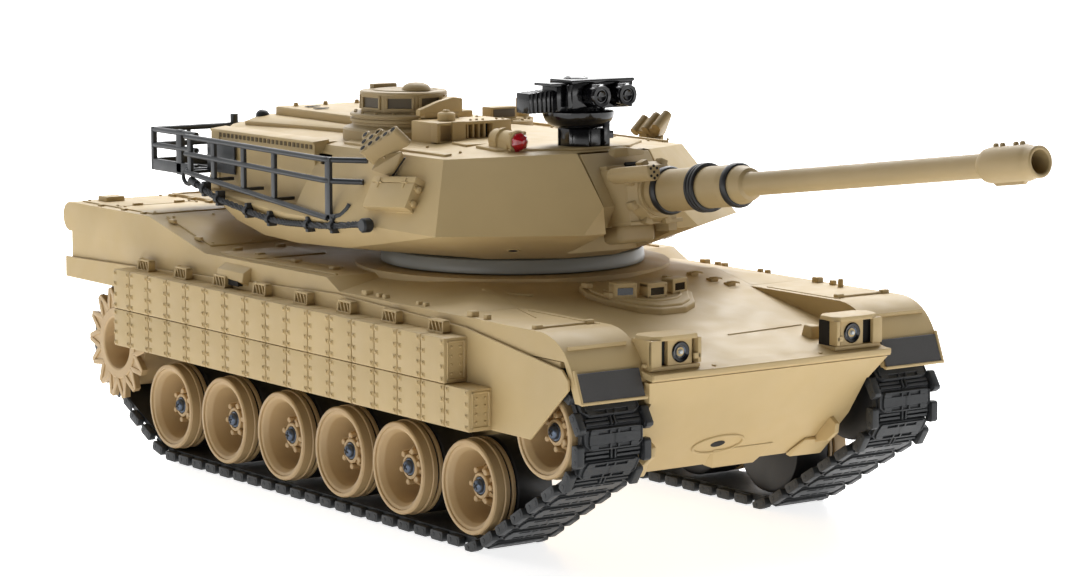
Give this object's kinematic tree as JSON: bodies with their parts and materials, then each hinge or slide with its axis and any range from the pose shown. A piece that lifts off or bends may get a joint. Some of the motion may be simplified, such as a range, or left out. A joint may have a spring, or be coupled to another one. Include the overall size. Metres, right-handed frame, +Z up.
{
  "type": "radio-controlled model tank",
  "caption": "Desert-tan radio-controlled model battle tank with turning turret, elevating gun, tracks on road wheels, brick side skirts and turret baskets.",
  "frame": {"origin": "on the ground, under the middle of the tank's overall length and width", "axes": "+Z up, -Y is the tank's front, -X is its right side"},
  "size_m": [0.1706, 0.4582, 0.1474],
  "materials": {
    "tan_plastic": "satin moulded desert tan",
    "track_plastic": "matt black",
    "black_rubber": "matt black rubber",
    "basket_plastic": "satin dark grey",
    "sight_plastic": "gloss black",
    "ring_plastic": "smooth grey",
    "flap_plastic": "matt dark grey",
    "clear_lens": "clear",
    "red_lens": "clear red",
    "board_green": "satin green",
    "battery_wrap": "satin blue",
    "gearbox_plastic": "matt off-white"
  },
  "bodies": {
    "hull": {"lower_hull": "tan_plastic", "upper_hull": "tan_plastic", "rear_grille": "tan_plastic", "side_skirt_right": "tan_plastic", "side_skirt_left": "tan_plastic", "mud_flap_right": "flap_plastic", "mud_flap_left": "flap_plastic", "headlight_guard_right": "tan_plastic", "headlight_guard_left": "tan_plastic", "headlight_lens_right": "clear_lens", "headlight_lens_left": "clear_lens", "driver_hatch": "tan_plastic", "battery_cover": "tan_plastic", "battery_pack": "battery_wrap", "control_board": "board_green", "speaker": "black_rubber", "turret_motor": "gearbox_plastic", "drive_gearbox_right": "gearbox_plastic", "drive_gearbox_left": "gearbox_plastic", "track_right": "track_plastic", "track_left": "track_plastic"},
    "power_switch": {"power_switch": "black_rubber"},
    "turret": {"turret_shell": "tan_plastic", "turret_ring": "ring_plastic", "commander_cupola": "tan_plastic", "sight_housing": "tan_plastic", "signal_lamp_housing": "tan_plastic", "signal_lamp_lens": "red_lens", "stowage_box_right": "tan_plastic", "stowage_box_left": "tan_plastic", "smoke_launcher_right": "tan_plastic", "smoke_launcher_left": "tan_plastic", "side_basket_right": "basket_plastic", "side_basket_left": "basket_plastic", "rear_rack": "basket_plastic", "tow_cable_right": "track_plastic", "tow_cable_left": "track_plastic", "sight_pedestal": "sight_plastic", "binocular_sight": "sight_plastic"},
    "gun": {"gun_mantlet": "tan_plastic", "gun_barrel": "tan_plastic", "barrel_band_1": "black_rubber", "barrel_band_2": "black_rubber", "barrel_band_3": "black_rubber"},
    "drive_sprocket_right": {"drive_sprocket_right": "tan_plastic"},
    "idler_wheel_right": {"idler_wheel_right": "tan_plastic"},
    "road_wheel_right_1": {"road_wheel_right_1": "tan_plastic"},
    "road_wheel_right_2": {"road_wheel_right_2": "tan_plastic"},
    "road_wheel_right_3": {"road_wheel_right_3": "tan_plastic"},
    "road_wheel_right_4": {"road_wheel_right_4": "tan_plastic"},
    "road_wheel_right_5": {"road_wheel_right_5": "tan_plastic"},
    "road_wheel_right_6": {"road_wheel_right_6": "tan_plastic"},
    "drive_sprocket_left": {"drive_sprocket_left": "tan_plastic"},
    "idler_wheel_left": {"idler_wheel_left": "tan_plastic"},
    "road_wheel_left_1": {"road_wheel_left_1": "tan_plastic"},
    "road_wheel_left_2": {"road_wheel_left_2": "tan_plastic"},
    "road_wheel_left_3": {"road_wheel_left_3": "tan_plastic"},
    "road_wheel_left_4": {"road_wheel_left_4": "tan_plastic"},
    "road_wheel_left_5": {"road_wheel_left_5": "tan_plastic"},
    "road_wheel_left_6": {"road_wheel_left_6": "tan_plastic"}
  },
  "joints": [
    {"name": "turret_yaw", "type": "hinge", "parent": "hull", "child": "turret", "pos_m": [0, 0.03475, 0.084], "axis": [0, 0, 1], "range_deg": [-160, 160]},
    {"name": "gun_elevation", "type": "hinge", "parent": "turret", "child": "gun", "pos_m": [0, -0.02725, 0.1097], "axis": [-1, 0, 0], "range_deg": [-10, 12]},
    {"name": "power_switch_slide", "type": "slide", "parent": "hull", "child": "power_switch", "axis": [0, 1, 0], "range_m": [0, 0.004]},
    {"name": "drive_sprocket_right_spin", "type": "hinge", "parent": "hull", "child": "drive_sprocket_right", "pos_m": [-0.06, 0.18855, 0.0396], "axis": [1, 0, 0], "continuous": true},
    {"name": "idler_wheel_right_spin", "type": "hinge", "parent": "hull", "child": "idler_wheel_right", "pos_m": [-0.06, -0.08595, 0.044], "axis": [1, 0, 0], "continuous": true},
    {"name": "road_wheel_right_1_spin", "type": "hinge", "parent": "hull", "child": "road_wheel_right_1", "pos_m": [-0.06, -0.04455, 0.0205], "axis": [1, 0, 0], "continuous": true},
    {"name": "road_wheel_right_2_spin", "type": "hinge", "parent": "hull", "child": "road_wheel_right_2", "pos_m": [-0.06, -0.00315, 0.0205], "axis": [1, 0, 0], "continuous": true},
    {"name": "road_wheel_right_3_spin", "type": "hinge", "parent": "hull", "child": "road_wheel_right_3", "pos_m": [-0.06, 0.03335, 0.0205], "axis": [1, 0, 0], "continuous": true},
    {"name": "road_wheel_right_4_spin", "type": "hinge", "parent": "hull", "child": "road_wheel_right_4", "pos_m": [-0.06, 0.07185, 0.0205], "axis": [1, 0, 0], "continuous": true},
    {"name": "road_wheel_right_5_spin", "type": "hinge", "parent": "hull", "child": "road_wheel_right_5", "pos_m": [-0.06, 0.11125, 0.0205], "axis": [1, 0, 0], "continuous": true},
    {"name": "road_wheel_right_6_spin", "type": "hinge", "parent": "hull", "child": "road_wheel_right_6", "pos_m": [-0.06, 0.14965, 0.0205], "axis": [1, 0, 0], "continuous": true},
    {"name": "drive_sprocket_left_spin", "type": "hinge", "parent": "hull", "child": "drive_sprocket_left", "pos_m": [0.06, 0.18855, 0.0396], "axis": [1, 0, 0], "continuous": true},
    {"name": "idler_wheel_left_spin", "type": "hinge", "parent": "hull", "child": "idler_wheel_left", "pos_m": [0.06, -0.08595, 0.044], "axis": [1, 0, 0], "continuous": true},
    {"name": "road_wheel_left_1_spin", "type": "hinge", "parent": "hull", "child": "road_wheel_left_1", "pos_m": [0.06, -0.04455, 0.0205], "axis": [1, 0, 0], "continuous": true},
    {"name": "road_wheel_left_2_spin", "type": "hinge", "parent": "hull", "child": "road_wheel_left_2", "pos_m": [0.06, -0.00315, 0.0205], "axis": [1, 0, 0], "continuous": true},
    {"name": "road_wheel_left_3_spin", "type": "hinge", "parent": "hull", "child": "road_wheel_left_3", "pos_m": [0.06, 0.03335, 0.0205], "axis": [1, 0, 0], "continuous": true},
    {"name": "road_wheel_left_4_spin", "type": "hinge", "parent": "hull", "child": "road_wheel_left_4", "pos_m": [0.06, 0.07185, 0.0205], "axis": [1, 0, 0], "continuous": true},
    {"name": "road_wheel_left_5_spin", "type": "hinge", "parent": "hull", "child": "road_wheel_left_5", "pos_m": [0.06, 0.11125, 0.0205], "axis": [1, 0, 0], "continuous": true},
    {"name": "road_wheel_left_6_spin", "type": "hinge", "parent": "hull", "child": "road_wheel_left_6", "pos_m": [0.06, 0.14965, 0.0205], "axis": [1, 0, 0], "continuous": true}
  ],
  "couplings": [
    {"joint": "idler_wheel_right_spin", "follows": "drive_sprocket_right_spin", "ratio": 1.1333},
    {"joint": "road_wheel_right_1_spin", "follows": "drive_sprocket_right_spin", "ratio": 1.0625},
    {"joint": "road_wheel_right_2_spin", "follows": "drive_sprocket_right_spin", "ratio": 1.0625},
    {"joint": "road_wheel_right_3_spin", "follows": "drive_sprocket_right_spin", "ratio": 1.0625},
    {"joint": "road_wheel_right_4_spin", "follows": "drive_sprocket_right_spin", "ratio": 1.0625},
    {"joint": "road_wheel_right_5_spin", "follows": "drive_sprocket_right_spin", "ratio": 1.0625},
    {"joint": "road_wheel_right_6_spin", "follows": "drive_sprocket_right_spin", "ratio": 1.0625},
    {"joint": "idler_wheel_left_spin", "follows": "drive_sprocket_left_spin", "ratio": 1.1333},
    {"joint": "road_wheel_left_1_spin", "follows": "drive_sprocket_left_spin", "ratio": 1.0625},
    {"joint": "road_wheel_left_2_spin", "follows": "drive_sprocket_left_spin", "ratio": 1.0625},
    {"joint": "road_wheel_left_3_spin", "follows": "drive_sprocket_left_spin", "ratio": 1.0625},
    {"joint": "road_wheel_left_4_spin", "follows": "drive_sprocket_left_spin", "ratio": 1.0625},
    {"joint": "road_wheel_left_5_spin", "follows": "drive_sprocket_left_spin", "ratio": 1.0625},
    {"joint": "road_wheel_left_6_spin", "follows": "drive_sprocket_left_spin", "ratio": 1.0625}
  ]
}
